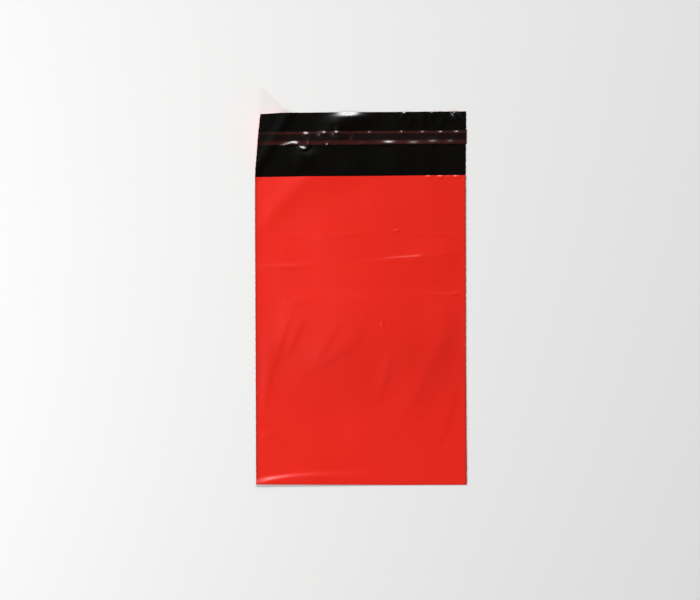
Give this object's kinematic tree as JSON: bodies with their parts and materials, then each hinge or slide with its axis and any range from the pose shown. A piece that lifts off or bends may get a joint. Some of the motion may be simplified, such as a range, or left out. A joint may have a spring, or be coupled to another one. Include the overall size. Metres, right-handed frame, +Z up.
{
  "type": "poly mailer bag",
  "caption": "Flat film mailing bag with welded sides, a folded bottom and a flap with a peel-off adhesive strip, for posting soft or flat goods.",
  "frame": {"origin": "centre of the bag's outline, on the surface that its back lies on", "axes": "+X across the bag's width, +Y from the folded bottom to the flap, +Z up out of the pocket's front"},
  "size_m": [0.16, 0.283, 0.0156],
  "materials": {
    "film": "satin red polythene film outside, glossy black inside",
    "adhesive": "clear hot-melt adhesive, dark where it lies on the black film",
    "liner": "glossy clear release film with a faint red tint, dark over the black flap"
  },
  "bodies": {
    "root": {"bag": "film", "adhesive_strip": "adhesive", "release_liner": "liner"}
  },
  "joints": []
}
